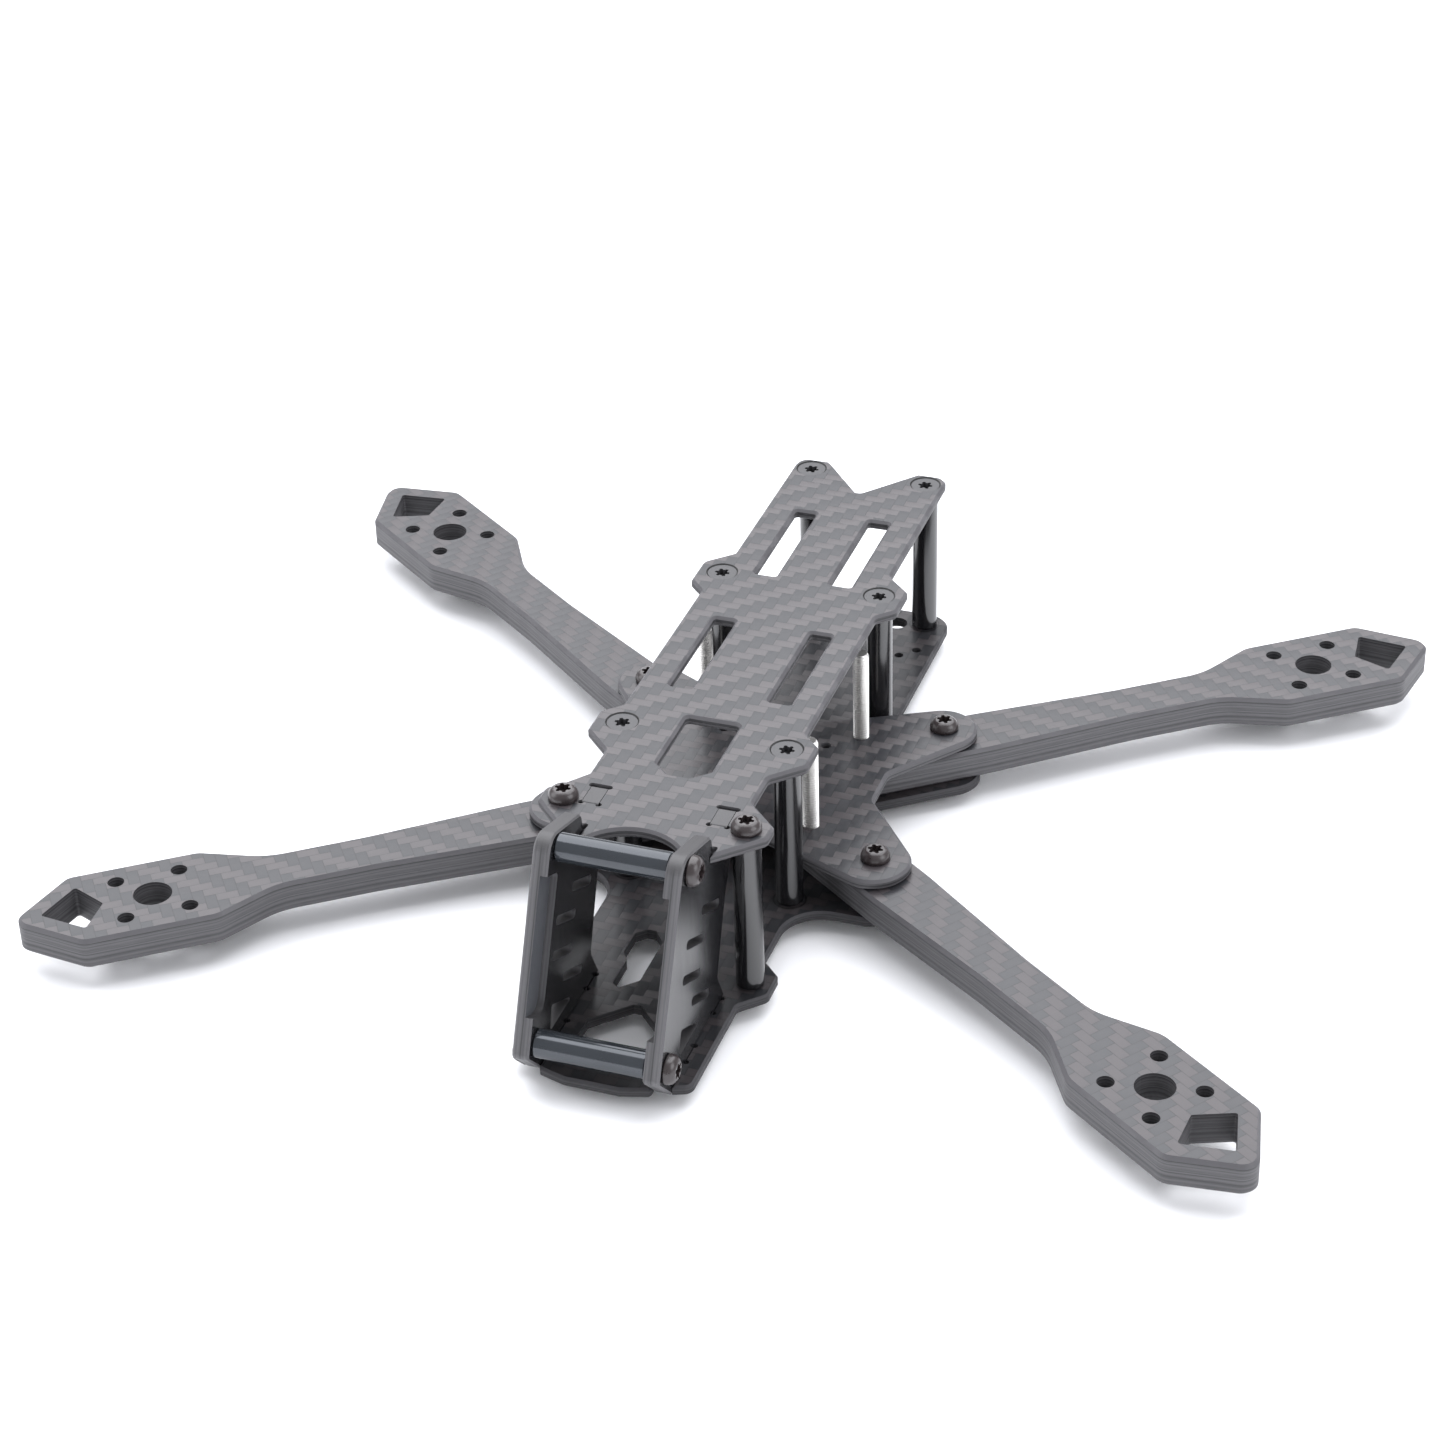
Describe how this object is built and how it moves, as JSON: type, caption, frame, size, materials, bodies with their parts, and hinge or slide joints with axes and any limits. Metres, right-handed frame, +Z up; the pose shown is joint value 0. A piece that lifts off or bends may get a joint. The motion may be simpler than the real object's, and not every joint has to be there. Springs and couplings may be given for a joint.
{
  "type": "quadcopter frame",
  "caption": "Bare carbon-fibre quadcopter frame: three stacked plates on round spacers, four flat arms with flared motor pads, and a leaning camera cage at the nose.",
  "frame": {"origin": "centre of the 30.5 mm stack pattern, on the mid plate's top face", "axes": "+X to the right, +Y to the tail, +Z up, away from the arms"},
  "size_m": [0.22, 0.1725, 0.0427],
  "materials": {
    "plate_carbon": "satin twill carbon fibre",
    "arm_carbon": "satin twill carbon fibre, laid along each arm",
    "side_carbon": "satin carbon fibre with machined edges",
    "black_anodised": "gloss black anodised",
    "slate_anodised": "slate grey anodised",
    "black_steel": "black oxide steel",
    "stainless_steel": "bright rolled thread"
  },
  "bodies": {
    "root": {"arm_front_left": "arm_carbon", "arm_front_right": "arm_carbon", "arm_rear_left": "arm_carbon", "arm_rear_right": "arm_carbon", "base_screws": "black_steel", "bottom_plate": "plate_carbon", "camera_plate_left": "side_carbon", "camera_plate_right": "side_carbon", "camera_plate_screws": "black_steel", "camera_plate_sunk_screws": "black_steel", "cross_standoff_lower": "slate_anodised", "cross_standoff_upper": "slate_anodised", "lobe_nuts": "black_steel", "lobe_screws": "black_steel", "mid_plate": "plate_carbon", "stack_screws": "stainless_steel", "standoff_front_left": "black_anodised", "standoff_front_right": "black_anodised", "standoff_front_waist_left": "black_anodised", "standoff_front_waist_right": "black_anodised", "standoff_rear_left": "black_anodised", "standoff_rear_right": "black_anodised", "standoff_rear_waist_left": "black_anodised", "standoff_rear_waist_right": "black_anodised", "top_front_screws": "black_steel", "top_plate": "plate_carbon", "top_sunk_screws": "black_steel"}
  },
  "joints": []
}
